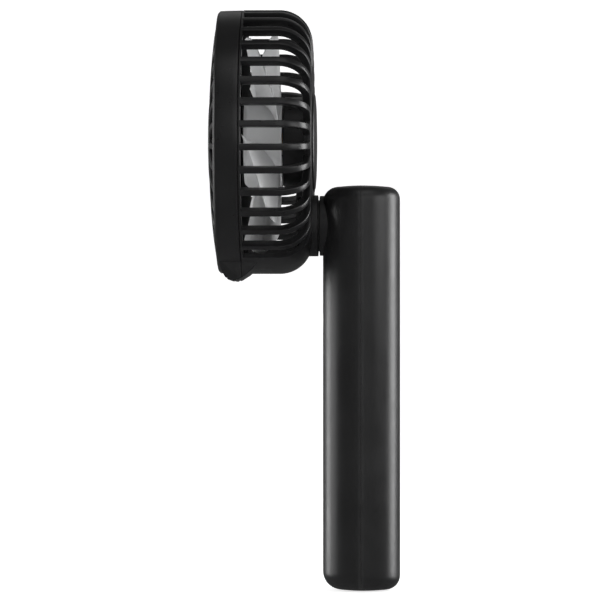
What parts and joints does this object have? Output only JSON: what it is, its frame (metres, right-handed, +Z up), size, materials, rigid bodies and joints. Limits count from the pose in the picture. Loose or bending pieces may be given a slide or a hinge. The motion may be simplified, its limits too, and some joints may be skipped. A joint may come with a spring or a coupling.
{
  "type": "desk fan",
  "caption": "Handheld battery fan that doubles as a desk fan: round caged head on a disc swivel, upright handle, pull-off front grille.",
  "frame": {"origin": "middle of the handle's rounded bottom end, on the handle's centre line", "axes": "+Z up along the handle, -Y the way the fan blows, +X to the fan's left seen from its front"},
  "size_m": [0.0948, 0.0687, 0.2084],
  "materials": {
    "black_plastic": "satin black moulded ABS",
    "button_plastic": "satin black",
    "grey_plastic": "satin light grey",
    "dark_metal": "dark anodised, finely brushed",
    "steel": "plain zinc-plated steel",
    "core_steel": "stacked laminations",
    "copper": "enamelled copper wire",
    "brass": "turned brass",
    "magnet": "bonded ferrite",
    "battery_wrap": "shrink-wrapped can",
    "foam": "foam",
    "circuit_board": "solder-masked laminate",
    "nylon": "natural nylon",
    "ferrite": "ferrite shell",
    "clear_plastic": "clear light guide",
    "lead_insulation": "red insulation"
  },
  "bodies": {
    "handle": {"handle_front_shell": "black_plastic", "handle_rear_shell": "black_plastic", "handle_screws": "steel", "battery_cell": "battery_wrap", "battery_end_pads": "foam", "battery_tabs": "steel", "control_board": "circuit_board", "lead_connector": "nylon", "control_chip": "button_plastic", "power_inductor": "ferrite", "usb_c_socket": "steel", "power_switch": "button_plastic", "indicator_leds": "clear_plastic", "indicator_light_guide": "clear_plastic"},
    "button": {"power_button": "button_plastic", "switch_plunger": "nylon"},
    "head": {"rear_cage": "black_plastic", "lead_channel_cover": "black_plastic", "swivel_axle": "steel", "swivel_spacer": "nylon", "swivel_flat_washer": "steel", "swivel_spring_washer": "steel", "swivel_nut": "steel", "rear_motor_cover": "black_plastic", "motor_lead": "lead_insulation", "bearing_tube": "brass", "shaft_bearings": "steel", "motor_stator": "core_steel", "stator_windings": "copper", "motor_board": "circuit_board"},
    "front_grille": {"front_cover": "black_plastic", "centre_cap": "dark_metal"},
    "rotor": {"impeller": "grey_plastic", "rotor_cup": "steel", "magnet_ring": "magnet", "rotor_shaft": "steel", "shaft_clip": "steel"}
  },
  "joints": [
    {"name": "head_swivel", "type": "hinge", "parent": "handle", "child": "head", "pos_m": [0, -0.0153, 0.1309], "axis": [0, 1, 0], "range_deg": [0, 180]},
    {"name": "fan_spin", "type": "hinge", "parent": "head", "child": "rotor", "pos_m": [0, -0.035, 0.161], "axis": [0, 1, 0], "continuous": true},
    {"name": "grille_pull", "type": "slide", "parent": "head", "child": "front_grille", "axis": [0, -1, 0], "range_m": [0, 0.03]},
    {"name": "button_press", "type": "slide", "parent": "handle", "child": "button", "axis": [0, 1, 0], "range_m": [0, 0.00045], "stiffness_N_per_m": 1200, "springref_m": -0.0004}
  ]
}
